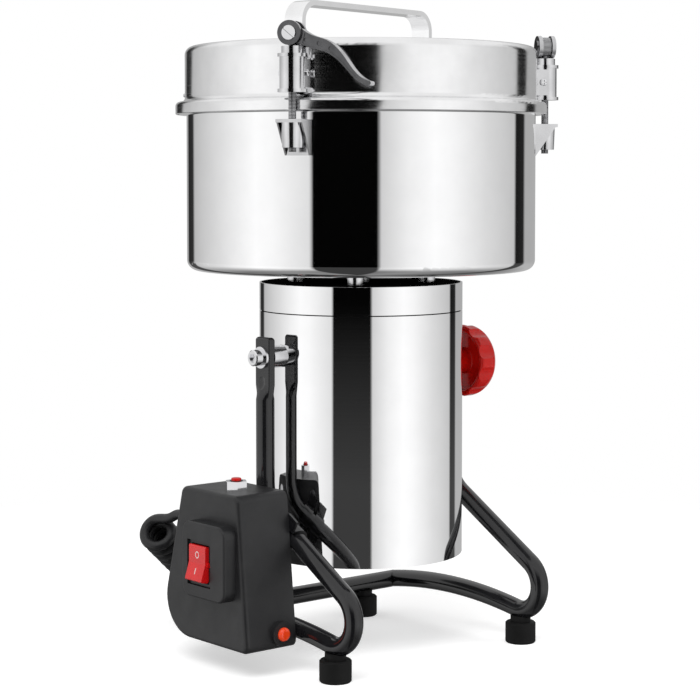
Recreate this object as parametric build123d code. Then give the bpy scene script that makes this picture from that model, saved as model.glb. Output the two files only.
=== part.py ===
from build123d import *
import math
import os

# Swing-type electric spice grinder on a bent-tube stand, in millimetres.
# Origin: on the motor axis, on the surface that the feet stand on. +Z up, front towards -Y,
# control box on the -X side, red tilt knob on the +X side.

# Clearances shared by the fits
RUN_FIT = 0.05            # radial gap of a pin or shaft in its hole
SEAT_GAP = 0.1            # gap between flat faces of pieces that move apart
SKIN_GAP = 0.4            # gap between curved faces of pieces that move apart

# Stand
TUBE_D = 11.5
TUBE_WALL = 1.2
FRAME_X = 77.5  # plane of each side loop
FOOT_D = 19.5
FOOT_H = 13.5
FOOT_NECK_D = 13.0
FOOT_NECK_H = 2.0         # from the foot's top to the underside of the tube
FRONT_FOOT_Y = -68.0
REAR_BAR_Y = 57.0
REAR_FOOT_X = 50.0
U_BEND_R = 17.0           # tight bend above a front foot
SWEEP_DEG = 30.5          # fall of the sloping run
ELBOW_R = 24.0            # bend between upright and sloping run
ARCH_DEG = 10.0           # rise of the base run where it leaves the U bend
EAR_T = 5.0               # flattened top of the upright
EAR_W = 14.0
EAR_BELOW = 17.0  # flattened length below the pivot
LOCK_EAR_BELOW = 26.0     # the same on the knob's side, where the lock stud passes too
EAR_TAPER = 9.0  # length over which round turns to flat
EAR_ABOVE = 12.5          # flattened length above the pivot
EAR_CORNER_R = 2.0
EAR_EDGE_R = 1.0
DIMPLE_DROP = 15.0
DIMPLE_R = 8.0
DIMPLE_DEPTH = 0.7
FOOT_SCREW_D = 4.0
FOOT_SCREW_HEAD_D = 7.5
FOOT_SCREW_HEAD_H = 3.0
FOOT_SCREW_SEAT = 6.0     # height of the seat inside the foot

# Tilt pivot
PIVOT_Z = 189.0
BOLT_D = 6.0
BOLT_HEAD_D = 10.0
BOLT_HEAD_H = 6.0
BOLT_HEX = 5.0
PIVOT_WASHER_D = 13.5
PIVOT_WASHER_T = 1.5
BOSS_D = 14.0
BOSS_FLANGE_D = 20.0
BOSS_FLANGE_T = 4.0
STUD_D = 7.0
STUD_OUT = 4.0            # end of the lock stud past the ear
KNOB_DROP = 12.3          # the lock knob's axis below the pivot's
KNOB_R = 24.0
KNOB_FLUTES = 10
KNOB_FLUTE_R = 8.0
KNOB_FLUTE = 1.9          # depth of a flute
KNOB_T = 17.5
KNOB_CROWN = 2.0
KNOB_WALL = 4.5
KNOB_HOLLOW = 5.0         # depth of the sunk ring in its back
KNOB_HUB_D = 17.0
KNOB_COLLAR_T = 5.0
KNOB_ROUND = 11.5
KNOB_FACE = 6.0           # solid plastic in front of the stud

# Motor housing
HOUSING_R = 65.0
HOUSING_WALL = 1.2
HOUSING_BOTTOM = 60.0
SEAM_Z = 215.0
SEAM_GAP = 0.7
HOUSING_TOP = 233.0
COVER_T = 2.0
VENT_COUNT = 12
VENT_R0 = 26.0
VENT_R1 = 54.0
VENT_W = 5.0

# Motor
SHAFT_D = 12.0
STATOR_IN_R = 31.0
CORE_Z0 = 108.0
CORE_H = 54.0
COIL_OVERHANG = 11.0
COIL_R0 = 33.0
COIL_R1 = 45.0
COIL_SPAN = 138.0
COIL_WINDOW = 106.0
AIR_GAP = 1.0
ARMATURE_SLOTS = 12
ARMATURE_SLOT_W = 3.0
ARMATURE_SLOT_DEPTH = 8.0
WINDING_R = 25.0
COMMUTATOR_R = 15.0
COMMUTATOR_Z0 = 79.0
COMMUTATOR_H = 16.0
FAN_R = 52.0
FAN_Z0 = 177.0
FAN_H = 10.0
FAN_BLADES = 9
BEARING_OD = 30.0
BEARING_W = 9.0
LOWER_BEARING_Z0 = 67.0
UPPER_BEARING_Z0 = 212.0
END_FRAME_T = 5.0
END_FRAME_HUB_WALL = 4.0
BRUSH_W = 7.0
BRUSH_H = 9.0
BRUSH_LEN = 20.0
BRUSH_HOLDER_WALL = 1.5
BRUSH_HOLDER_END_R = 47.0

# Bowl
BOWL_R = 111.0
BOWL_WALL = 1.5
BOWL_GAP = 8.0            # open gap between the housing and the bowl
BOWL_ROUND = 6.5
FLANGE_OUT = 7.0          # rim of bowl and lid beyond the bowl's wall
FLANGE_T = 3.0
FLANGE_EDGE_R = 0.6       # round on the bowl rim's upper edge
BOWL_TALL = 101.4
POST_D = 11.0
POST_R = 42.0
POST_COUNT = 4
POST_SCREW_D = 5.0
POST_SCREW_HEAD_D = 9.0
POST_SCREW_HEAD_H = 2.6
SEAL_D = 26.0
SEAL_H = 6.0

# Blade set
BLADE_TIP_GAP = 11.5      # from a blade's end to the bowl's wall
BLADE_W = 24.0
BLADE_T = 2.5
BLADE_EDGE = 1.6
BLADE_RISE = 12.0         # lower blade above the bowl's underside
SPACER_H = 20.0
SPACER_D = 24.0
LOWER_BLADE_TURN = 25.0
UPPER_BLADE_TURN = 115.0
NUT_ACROSS = 19.0
NUT_H = 9.0

# Lid
LID_OVER = 1.0            # lid's wall beyond the bowl's wall
LID_WALL = 1.5
LID_RISE = 39.6           # top of the lid above the bowl's rim
LID_ROUND = 5.0
LID_FLANGE_T = 4.2
LID_FLARE_R = 3.0         # round between the lid's wall and its rim
LID_RIM_R = 2.6           # round on the rim's upper edge
LID_SKIRT_T = 1.3         # lip of the lid's rim, down over the bowl's rim
GASKET_IN = 0.8           # gasket's edge inside the bowl rim's edge
GASKET_T = 0.6
HANDLE_LEN = 135.0
HANDLE_W = 14.0
HANDLE_T = 3.3
HANDLE_RISE = 26.5        # top of the handle above the lid
HANDLE_ROUND = 13.0
HANDLE_TURN = 12.0        # turn of the handle about the motor axis
HANDLE_FOOT = 12.0        # tab of the strap that lies on the lid at each end

# Cam clamps, drawn in front (towards -Y) and then turned about the motor axis
CLAMP_TURNS = {"front_left": -59.5, "front_right": 60.5, "rear": 180.5}
ROD_OUT = 3.5             # middle of the rods beyond the rims
ROD_D = 4.5
BARREL_D = 15.2
BARREL_RISE = 9.1         # barrels above the bowl's rim
BARREL_H = 18.5
RING_D = 17.5
RING_T = 2.0
COLLAR_D = 13.0
EYE_RISE = 13.8           # pins above the barrels
EYE_R = 7.2
PIN_R = 4.2
ROD_EYE_R = 6.2
ROD_EYE_T = 5.5
LEVER_T = 11.0
LEVER_SLOT = 6.1
LEVER_TIP_R = 1.6
LEVER_RIM = 0.9           # raised rim round the arm's sunk panel
LEVER_PANEL = 0.6
SADDLE_IN = 1.0           # saddle shorter than the barrel at each end
CLAMP_SCREW_D = 2.0
CLAMP_SCREW_HEAD_D = 4.6
CLAMP_SCREW_HEAD_H = 1.6
CLAMP_SCREW_SLOT = 0.7
CLAMP_SCREW_LEN = 3.0
CLAMP_SCREW_IN = 3.2      # screws' axis inside the rods' middle
KEEPER_DROP = 10.4        # underside of the keeper plate below the bowl's rim
KEEPER_T = 2.0
KEEPER_W = 16.0
KEEPER_WEB_T = 2.0
KEEPER_CHEEK_T = 1.0
KEEPER_OUT = 6.5          # plate beyond the rod
NUT_TOP_D = 13.2
NUT_LOW_D = 12.0
SLEEVE_NUT_H = 14.5
ROD_STUB = 2.5

# Control box
BOX_BACK_X = -83.5
BOX_FACE_X = -121.0
BOX_WALL = 2.5
BOX_BACK_T = 3.0
BOX_TOP_Z = 110.2
BOX_BOTTOM_Z = 16.3
BOX_TOP_FRONT_Y = -29.0
BOX_TOP_REAR_Y = 28.8
BOX_LOW_FRONT_Y = -38.3
BOX_LOW_REAR_Y = 53.5
BOX_CORNER_R = 5.0
BOX_BELLY_R = 24.0
BOX_EDGE_R = 3.0
PAD_H = 9.0
PAD_Y = -6.0
PAD_Z = 69.2
PAD_W = 43.0
PAD_TALL = 46.0
PAD_CORNER_R = 7.0
PAD_EDGE_R = 1.5
SWITCH_Y = -2.0
SWITCH_Z = 67.5
SWITCH_ROOM = 0.4         # room round the switch in its recess
BEZEL_W = 23.0
BEZEL_CORNER_R = 1.5
AXLE_R = 1.5              # stub axles of the rocker
AXLE_OUT = 1.0
BEZEL_TALL = 27.0
BEZEL_T = 1.6
BEZEL_RECESS = 3.0
SWITCH_BODY_W = 20.0
SWITCH_BODY_TALL = 25.0
SWITCH_BODY_LEN = 22.0
ROCKER_W = 16.6
ROCKER_TALL = 21.6
ROCKER_PROUD = 4.2
ROCKER_DIP = 1.6
ROCKER_REST_DEG = 9.0
ROCKER_DEPTH = 5.0
ROCKER_ROOM = 0.9
RESET_X = -106.0
RESET_Y = -8.0
RESET_BUSH_D = 8.0
RESET_NUT_ACROSS = 12.0
RESET_NUT_H = 6.0
RESET_BUSH_PROUD = 6.2
RESET_BUTTON_D = 6.2
RESET_BUTTON_PROUD = 1.6
RESET_TRAVEL = 1.5
BREAKER_W = 14.0
BREAKER_D = 20.0
BREAKER_H = 24.0
LAMP_X = -95.0
LAMP_Z = 26.0
LAMP_BOSS_D = 15.0
LAMP_BOSS_Y = -40.2
LAMP_LENS_D = 8.4
LAMP_LENS_H = 2.6
LAMP_BODY_D = 7.0
LAMP_BODY_LEN = 16.0
BOX_SCREW_D = 3.5
BOX_SCREW_HEAD_D = 6.0
BOX_SCREW_HEAD_H = 2.0
CLIP_T = 1.5
CLIP_W = 9.0
CLIP_FLANGE = 7.0
CLIP_PLACES = (6.0, 18.0)  # down the sloping run from the elbow

# Mains cord: a curly lead that comes down to the surface behind the box, and its tail
CORD_D = 6.5
GLAND_X = -95.0
GLAND_Z = 84.0
GLAND_BOSS_D = 16.0
GLAND_BOSS_Y = 40.5
GLAND_LEN = 17.0
GLAND_ROOT_D = 12.5
GLAND_TIP_D = 8.6
GLAND_STEM_D = 9.0
GLAND_GROOVES = 4
GLAND_GROOVE_W = 1.4
GLAND_GROOVE_DEPTH = 0.9
CURL_R = 8.75             # to the middle of the cord
CURL_PITCH = 7.3
CURLS = 15
CURL_SET = Vector(-8.1, 25.1, -12.0)  # start of the curls' axis from the strain relief's end
CURL_AXIS = Vector(0.75, 0.40, -0.555)
TAIL_FIRST = 24.0
TAIL_RUNS = ((25.0, -6.0, 77.0), (25.0, -3.4, 42.0), (24.0, 0.0, 8.0))  # length, drop, bearing
PLUG_LEN = 36.0
PLUG_W = 26.0
PLUG_H = 15.0
PLUG_NECK_D = 10.0
PLUG_NECK_LEN = 14.0
PIN_LEN = 16.0
PIN_D = 4.6
PIN_SPREAD = 9.5

# Derived levels and places
TUBE_R = TUBE_D / 2
FOOT_TUBE_Z = FOOT_H + FOOT_NECK_H + TUBE_R
HOUSING_IN_R = HOUSING_R - HOUSING_WALL
CORE_TOP = CORE_Z0 + CORE_H
BOWL_IN_R = BOWL_R - BOWL_WALL
FLANGE_R = BOWL_R + FLANGE_OUT
LID_R = BOWL_R + LID_OVER
LID_SKIRT_R = FLANGE_R - LID_SKIRT_T
BOWL_RIM_R = LID_SKIRT_R - SKIN_GAP
GASKET_R1 = BOWL_RIM_R - GASKET_IN
ROD_R = FLANGE_R + ROD_OUT
BLADE_R = BOWL_IN_R - BLADE_TIP_GAP
BOWL_BOTTOM = HOUSING_TOP + BOWL_GAP
BOWL_FLOOR = BOWL_BOTTOM + BOWL_WALL
BOWL_FLANGE_TOP = BOWL_BOTTOM + BOWL_TALL
LOWER_BLADE_Z0 = BOWL_BOTTOM + BLADE_RISE
LID_TOP = BOWL_FLANGE_TOP + LID_RISE
HANDLE_TOP = LID_TOP + HANDLE_RISE
BARREL_Z0 = BOWL_FLANGE_TOP + BARREL_RISE
EYE_Z = BARREL_Z0 + BARREL_H + EYE_RISE
KEEPER_Z = BOWL_FLANGE_TOP - KEEPER_DROP
LID_FLANGE_Z0 = BOWL_FLANGE_TOP + GASKET_T
EAR_IN_X = FRAME_X - EAR_T / 2
EAR_OUT_X = FRAME_X + EAR_T / 2
KNOB_Z = PIVOT_Z - KNOB_DROP
UPPER_BLADE_Z0 = LOWER_BLADE_Z0 + BLADE_T + SPACER_H
CLAMP_SCREW_Y = -(ROD_R - CLAMP_SCREW_IN)
CLAMP_SCREW_Z = BARREL_Z0 + BARREL_H / 2
BOX_PLATE_X = BOX_BACK_X - BOX_BACK_T
PAD_FACE_X = BOX_FACE_X - PAD_H
GLAND_END_Y = GLAND_BOSS_Y + GLAND_LEN
LOW = (Align.CENTER, Align.CENTER, Align.MIN)

os.makedirs("parts", exist_ok=True)


def save(name, *solids):
    """Write one node; several solids stay separate inside it."""
    shape = solids[0] if len(solids) == 1 else Compound(children=list(solids))
    export_step(shape, f"parts/{name}.step")


def disc(radius, z0, z1, x=0.0, y=0.0):
    return Pos(x, y, z0) * Cylinder(radius, z1 - z0, align=LOW)


def ring(outer, inner, z0, z1, x=0.0, y=0.0):
    return disc(outer, z0, z1, x, y) - disc(inner, z0 - 1, z1 + 1, x, y)


def bar_x(radius, x0, x1, y, z):
    return Pos(x0, y, z) * Rot(0, 90, 0) * Cylinder(radius, x1 - x0, align=LOW)


def bar_y(radius, y0, y1, x, z):
    return Pos(x, y0, z) * Rot(-90, 0, 0) * Cylinder(radius, y1 - y0, align=LOW)


def block(x0, x1, y0, y1, z0, z1):
    return Pos((x0 + x1) / 2, (y0 + y1) / 2, (z0 + z1) / 2) * Box(x1 - x0, y1 - y0, z1 - z0)


def turned(points, rounds=None):
    """Revolve a closed outline of (radius, height) points, with some corners rounded first."""
    face = make_face(Polyline(*[(r, 0, z) for r, z in points], close=True).edges()).face()
    for (r, z), radius in (rounds or {}).items():
        corner = face.vertices().sort_by_distance((r, 0, z))[0]
        face = face.fillet_2d(radius, [corner])
    return revolve(face, Axis.Z)


def around(count, solid, start=0.0):
    return [Rot(0, 0, start + 360.0 / count * i) * solid for i in range(count)]


def less(solid, cutters):
    for cutter in cutters:
        solid -= cutter
    return solid


def biarc(p0, t0, p1, t1):
    """Two arcs that leave p0 along t0 and arrive at p1 along t1."""
    span = p1 - p0
    both = t0 + t1
    spread = 2 * (1 - t0.dot(t1))
    along = span.dot(both)
    reach = (-along + math.sqrt(along * along + spread * span.dot(span))) / spread
    q0 = p0 + t0 * reach
    q1 = p1 - t1 * reach
    middle = (q0 + q1) * 0.5
    return [
        Edge.make_tangent_arc(p0, t0, middle),
        Edge.make_tangent_arc(middle, (q1 - q0).normalized(), p1),
    ]


# Stand: one side loop, drawn in its own plane and carried to x
def loop_path(x):
    fall = math.radians(SWEEP_DEG)
    arch = math.radians(ARCH_DEG)
    forward = Vector(0, -math.cos(fall), -math.sin(fall))
    outward = Vector(0, -math.sin(fall), math.cos(fall))
    centre = Vector(x, FRONT_FOOT_Y, FOOT_TUBE_Z + U_BEND_R)
    sweep_end = centre + outward * U_BEND_R
    elbow_z = sweep_end.Z + (sweep_end.Y / -math.cos(fall)) * math.sin(fall)
    elbow = Vector(x, 0, elbow_z)
    reach = ELBOW_R * math.tan((math.pi / 2 - fall) / 2)
    top = Vector(x, 0, PIVOT_Z - (EAR_BELOW if x < 0 else LOCK_EAR_BELOW) - EAR_TAPER)
    down = Vector(0, 0, -1)
    bend_in = elbow - down * reach
    bend_out = elbow + forward * reach
    base_start = centre + Vector(0, U_BEND_R * math.sin(arch), -U_BEND_R * math.cos(arch))
    climb = Vector(0, math.cos(arch), math.sin(arch))
    dive = Vector(0, math.cos(arch), -math.sin(arch))
    base_end = Vector(x, REAR_BAR_Y, base_start.Z)
    return [
        Edge.make_line(top, bend_in),
        Edge.make_tangent_arc(bend_in, down, bend_out),
        Edge.make_line(bend_out, sweep_end),
        Edge.make_tangent_arc(sweep_end, forward, base_start),
        Edge.make_tangent_arc(base_start, climb, base_end),
        Edge.make_line(base_end, base_end + dive * TUBE_D),
    ]


def swept(edges, radius, bore=0.0):
    path = Wire(edges)
    section = Plane(path @ 0, z_dir=path % 0) * Circle(radius)
    tube = sweep(section, path=path)
    if bore:
        tube -= sweep(Plane(path @ 0, z_dir=path % 0) * Circle(bore), path=path)
    return tube


REAR_BAR_Z = loop_path(FRAME_X)[4].end_point().Z
FEET = (
    (-FRAME_X, FRONT_FOOT_Y), (FRAME_X, FRONT_FOOT_Y), (-REAR_FOOT_X, REAR_BAR_Y), (REAR_FOOT_X, REAR_BAR_Y),
)


def mitre(side):
    """Half space beyond the corner where a side loop meets the rear bar."""
    corner = Plane((side * FRAME_X, REAR_BAR_Y, REAR_BAR_Z), x_dir=(0, 0, 1), z_dir=(-side, 1, 0))
    return corner * Box(4 * FRAME_X, 4 * FRAME_X, 4 * FRAME_X, align=LOW)


def ear(side):
    x = side * FRAME_X
    low = PIVOT_Z - (EAR_BELOW if side < 0 else LOCK_EAR_BELOW)
    round_end = Plane((x, 0, low - EAR_TAPER)) * Circle(TUBE_R)
    flat_end = Plane((x, 0, low)) * RectangleRounded(EAR_T, EAR_W, EAR_EDGE_R)
    taper = loft([round_end, flat_end])
    plate = extrude(flat_end, PIVOT_Z + EAR_ABOVE - low)
    top_edges = plate.faces().sort_by(Axis.Z)[-1].edges().filter_by(Axis.X)
    blank = taper + fillet(top_edges, EAR_CORNER_R)
    blank -= bar_x(BOLT_D / 2 + RUN_FIT, x - EAR_T, x + EAR_T, 0, PIVOT_Z)
    if side > 0:
        return blank - bar_x(STUD_D / 2 + RUN_FIT, x - EAR_T, x + EAR_T, 0, KNOB_Z)
    dimple_x = x + side * (EAR_T / 2 + DIMPLE_R - DIMPLE_DEPTH)
    return blank - Pos(dimple_x, 0, PIVOT_Z - DIMPLE_DROP) * Sphere(DIMPLE_R)


def screw_hole(x, y):
    return disc(FOOT_SCREW_D / 2 + RUN_FIT, FOOT_H, FOOT_TUBE_Z, x, y)


def make_stand():
    outer = {}
    for side, name in ((-1, "left"), (1, "right")):
        path = loop_path(side * FRAME_X)
        outer[name] = swept(path, TUBE_R) - mitre(side)
        tube = swept(path, TUBE_R, TUBE_R - TUBE_WALL) - mitre(side)
        tube += ear(side)
        tube -= screw_hole(side * FRAME_X, FRONT_FOOT_Y)
        save(f"{name}_frame_tube", tube)
    reach = FRAME_X + TUBE_D
    bar = bar_x(TUBE_R, -reach, reach, REAR_BAR_Y, REAR_BAR_Z)
    outer["rear"] = bar & mitre(-1) & mitre(1)
    cross = outer["rear"] - bar_x(TUBE_R - TUBE_WALL, -reach, reach, REAR_BAR_Y, REAR_BAR_Z)
    for side in (-1, 1):
        cross -= screw_hole(side * REAR_FOOT_X, REAR_BAR_Y)
    save("rear_cross_tube", cross)

    feet, screws = [], []
    for x, y in FEET:
        foot = chamfer(disc(FOOT_D / 2, 0, FOOT_H, x, y).edges(), 0.8)
        foot += disc(FOOT_NECK_D / 2, FOOT_H, FOOT_H + FOOT_NECK_H + 2, x, y)
        foot -= disc(FOOT_SCREW_D / 2 + RUN_FIT, -1, FOOT_TUBE_Z, x, y)
        foot -= disc(FOOT_SCREW_HEAD_D / 2 + 0.5, -1, FOOT_SCREW_SEAT, x, y)
        foot = less(foot, outer.values())
        feet.append(foot)
        head = disc(FOOT_SCREW_HEAD_D / 2, FOOT_SCREW_SEAT - FOOT_SCREW_HEAD_H, FOOT_SCREW_SEAT, x, y)
        screws.append(head + disc(FOOT_SCREW_D / 2, FOOT_SCREW_SEAT, FOOT_TUBE_Z - TUBE_R + 3, x, y))
    save("rubber_feet", *feet)
    save("foot_screws", *screws)


# Tilt pivot
def make_pivot():
    boss_out = EAR_IN_X - SEAT_GAP
    flange_in = HOUSING_IN_R - BOSS_FLANGE_T - 1.0
    boss = bar_x(BOSS_D / 2, flange_in, boss_out, 0, PIVOT_Z)
    boss += bar_x(BOSS_FLANGE_D / 2, flange_in, flange_in + BOSS_FLANGE_T, 0, PIVOT_Z)
    boss -= bar_x(BOLT_D / 2 + RUN_FIT, flange_in - 1, boss_out + 1, 0, PIVOT_Z)
    save("pivot_bosses", boss, mirror(boss, Plane.YZ))

    washer_in = EAR_OUT_X + SEAT_GAP
    washer = bar_x(PIVOT_WASHER_D / 2, washer_in, washer_in + PIVOT_WASHER_T, 0, PIVOT_Z)
    washer -= bar_x(BOLT_D / 2 + RUN_FIT, washer_in - 1, washer_in + PIVOT_WASHER_T + 1, 0, PIVOT_Z)
    head_in = washer_in + PIVOT_WASHER_T
    head = bar_x(BOLT_HEAD_D / 2, head_in, head_in + BOLT_HEAD_H, 0, PIVOT_Z)
    head = chamfer(head.edges().group_by(Axis.X)[-1], 0.6)
    socket = Plane((head_in + BOLT_HEAD_H, 0, PIVOT_Z), x_dir=(0, 1, 0), z_dir=(1, 0, 0))
    head -= extrude(socket * RegularPolygon(BOLT_HEX / 2, 6, major_radius=False), -BOLT_HEAD_H / 2)
    bolt = head + bar_x(BOLT_D / 2, flange_in, head_in, 0, PIVOT_Z)
    pin = bar_x(BOLT_D / 2, flange_in, EAR_OUT_X, 0, PIVOT_Z)
    save("pivot_bolt", mirror(bolt, Plane.YZ), mirror(washer, Plane.YZ), pin)


def make_knob():
    start = EAR_OUT_X + SEAT_GAP
    rear = start + KNOB_COLLAR_T
    front = rear + KNOB_T
    hub_r = KNOB_HUB_D / 2
    rim_r = KNOB_R - KNOB_WALL
    sunk = rear + KNOB_HOLLOW
    profile = [
        (0, start), (hub_r, start), (hub_r, sunk), (rim_r, sunk), (rim_r, rear), (KNOB_R, rear),
        (KNOB_R, front), (0, front + KNOB_CROWN),
    ]
    rounds = {(KNOB_R, rear): KNOB_WALL * 0.45, (rim_r, rear): KNOB_WALL * 0.45, (KNOB_R, front): KNOB_ROUND,
              (hub_r, sunk): 1.0, (rim_r, sunk): 1.0}
    knob = turned(profile, rounds)
    flute = disc(KNOB_FLUTE_R, rear - 1, front + KNOB_CROWN, KNOB_R + KNOB_FLUTE_R - KNOB_FLUTE)
    knob = less(knob, around(KNOB_FLUTES, flute))
    blind = front - KNOB_FACE
    knob -= disc(STUD_D / 2 + RUN_FIT, start - 1, blind)
    stud = disc(STUD_D / 2, EAR_IN_X - STUD_OUT, blind)
    across = Pos(0, 0, KNOB_Z) * Rot(0, 90, 0)
    save("tilt_knob", across * knob)
    save("knob_stud", across * stud)


# Motor housing
def boss_hole(side):
    ends = sorted((side * (HOUSING_R - 15), side * (HOUSING_R + 5)))
    return bar_x(BOSS_D / 2 + RUN_FIT, ends[0], ends[1], 0, PIVOT_Z)


def make_housing():
    sleeve = ring(HOUSING_R, HOUSING_IN_R, HOUSING_BOTTOM, SEAM_Z)
    save("housing_sleeve", less(sleeve, [boss_hole(-1), boss_hole(1)]))
    save("housing_top_ring", ring(HOUSING_R, HOUSING_IN_R, SEAM_Z + SEAM_GAP, HOUSING_TOP))
    cover = disc(HOUSING_IN_R - RUN_FIT, HOUSING_BOTTOM, HOUSING_BOTTOM + COVER_T)
    slot = SlotCenterToCenter(VENT_R1 - VENT_R0, VENT_W)
    vent = extrude(Plane.XY * Pos((VENT_R0 + VENT_R1) / 2, 0) * slot, 3 * COVER_T)
    cover = less(cover, around(VENT_COUNT, Pos(0, 0, HOUSING_BOTTOM - COVER_T) * vent))
    save("housing_bottom_cover", cover)


def make_end_frames():
    hub_r = BEARING_OD / 2 + END_FRAME_HUB_WALL
    rim_r = HOUSING_IN_R - RUN_FIT
    z0 = LOWER_BEARING_Z0
    lower = disc(hub_r, z0, z0 + BEARING_W)
    for turn in range(4):
        lower += Rot(0, 0, 90 * turn + 45) * block(0, rim_r - 2, -7, 7, z0, z0 + END_FRAME_T)
    lower += ring(rim_r, rim_r - 10, z0, z0 + END_FRAME_T)
    lower -= disc(BEARING_OD / 2 + RUN_FIT, z0 - 1, z0 + BEARING_W + 1)
    lower += ring(rim_r, rim_r - 10, HOUSING_BOTTOM + COVER_T, z0)
    save("lower_end_frame", lower)

    z1 = UPPER_BEARING_Z0
    upper = disc(rim_r, HOUSING_TOP - END_FRAME_T, HOUSING_TOP)
    upper += disc(hub_r, z1, HOUSING_TOP)
    upper += ring(rim_r, rim_r - 6, SEAM_Z - 8, HOUSING_TOP)
    upper -= disc(BEARING_OD / 2 + RUN_FIT, z1 - 1, z1 + BEARING_W)
    upper -= disc(SHAFT_D / 2 + 3, z1 - 1, HOUSING_TOP + 1)
    screw_hole_d = POST_SCREW_D / 2 + RUN_FIT
    hole = disc(screw_hole_d, HOUSING_TOP - END_FRAME_T - 1, HOUSING_TOP + 1, POST_R)
    upper = less(upper, around(POST_COUNT, hole, 45))
    save("upper_end_frame", upper)

    bearings = []
    for low in (z0, z1):
        inner_r = SHAFT_D / 2 + RUN_FIT
        race = ring(BEARING_OD / 2, inner_r, low, low + BEARING_W)
        groove = ring(BEARING_OD / 2 - 3, inner_r + 3, low - 1, low + 1)
        race -= groove
        bearings.append(race - Pos(0, 0, BEARING_W) * groove)
    save("motor_bearings", *bearings)


# Motor
def coil(turn):
    wedge_out = Rot(0, 0, turn - COIL_SPAN / 2) * revolve(
        Plane.XZ * Pos((COIL_R0 + COIL_R1) / 2, (CORE_Z0 + CORE_TOP) / 2)
        * Rectangle(COIL_R1 - COIL_R0, CORE_H + 2 * COIL_OVERHANG), Axis.Z, COIL_SPAN)
    window = Rot(0, 0, turn - COIL_WINDOW / 2) * revolve(
        Plane.XZ * Pos((COIL_R0 + COIL_R1) / 2, (CORE_Z0 + CORE_TOP) / 2)
        * Rectangle(COIL_R1 - COIL_R0 + 2, CORE_H), Axis.Z, COIL_WINDOW)
    return wedge_out - window


def make_motor():
    coils = [coil(0), coil(180)]
    core = ring(HOUSING_IN_R - RUN_FIT, STATOR_IN_R, CORE_Z0, CORE_TOP)
    save("stator_core", less(core, coils))
    save("field_coils", *coils)

    core_r = STATOR_IN_R - AIR_GAP
    slot = block(core_r - ARMATURE_SLOT_DEPTH, core_r + 1, -ARMATURE_SLOT_W / 2, ARMATURE_SLOT_W / 2,
                 CORE_Z0 - 1, CORE_TOP + 1)
    armature = less(ring(core_r, SHAFT_D / 2, CORE_Z0, CORE_TOP), around(ARMATURE_SLOTS, slot))
    save("armature_core", armature)
    low_end = COMMUTATOR_Z0 + COMMUTATOR_H
    high_end = CORE_TOP + COIL_OVERHANG
    windings = []
    for z0, z1 in ((low_end, CORE_Z0), (CORE_TOP, high_end)):
        bundle = ring(WINDING_R, SHAFT_D / 2, z0, z1)
        windings.append(fillet(bundle.edges().filter_by(GeomType.CIRCLE).group_by(SortBy.RADIUS)[-1], 3))
    save("armature_winding", *windings)
    bars = ring(COMMUTATOR_R, SHAFT_D / 2, COMMUTATOR_Z0, low_end)
    groove = block(COMMUTATOR_R - 2, COMMUTATOR_R + 1, -0.4, 0.4, COMMUTATOR_Z0 - 1, low_end + 1)
    save("commutator", less(bars, around(2 * ARMATURE_SLOTS, groove)))

    fan = ring(FAN_R, SHAFT_D / 2, FAN_Z0, FAN_Z0 + 1.6)
    fan += ring(SHAFT_D / 2 + 5, SHAFT_D / 2, FAN_Z0, FAN_Z0 + FAN_H)
    vane = block(SHAFT_D / 2 + 4, FAN_R - 1, -0.8, 0.8, FAN_Z0 + 1, FAN_Z0 + FAN_H)
    for piece in around(FAN_BLADES, vane):
        fan += piece
    save("cooling_fan", fan)

    shaft_top = UPPER_BLADE_Z0 + BLADE_T + NUT_H + 2
    shaft = disc(SHAFT_D / 2, LOWER_BEARING_Z0 - 2, shaft_top)
    collar = ring(SHAFT_D / 2 + 5, SHAFT_D / 2, BOWL_FLOOR + SEAL_H + SEAT_GAP, LOWER_BLADE_Z0)
    save("motor_shaft", chamfer(shaft.edges().group_by(Axis.Z)[-1], 1) + collar)


def make_brushes():
    z = COMMUTATOR_Z0 + COMMUTATOR_H / 2
    gap = BRUSH_HOLDER_WALL
    inner = COMMUTATOR_R + 3
    holders, brushes = [], []
    for side in (0, 180):
        spin = Rot(0, 0, side)
        tall = LOWER_BEARING_Z0 + END_FRAME_T
        wide = BRUSH_W / 2 + gap
        holder = block(-wide, wide, inner, BRUSH_HOLDER_END_R, z - BRUSH_H / 2 - gap, z + BRUSH_H / 2 + gap)
        holder -= block(-BRUSH_W / 2 - RUN_FIT, BRUSH_W / 2 + RUN_FIT, inner - 1, BRUSH_HOLDER_END_R - gap,
                        z - BRUSH_H / 2 - RUN_FIT, z + BRUSH_H / 2 + RUN_FIT)
        arm_end = HOUSING_IN_R - 4
        holder += block(-wide, wide, BRUSH_HOLDER_END_R - gap, arm_end, tall, tall + 3)
        holder += block(-wide, wide, BRUSH_HOLDER_END_R - gap, BRUSH_HOLDER_END_R + gap, tall, z)
        holders.append(spin * holder)
        start = COMMUTATOR_R + SEAT_GAP
        brushes.append(spin * block(-BRUSH_W / 2, BRUSH_W / 2, start, start + BRUSH_LEN,
                                    z - BRUSH_H / 2, z + BRUSH_H / 2))
    save("brush_holders", *holders)
    save("carbon_brushes", *brushes)


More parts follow.
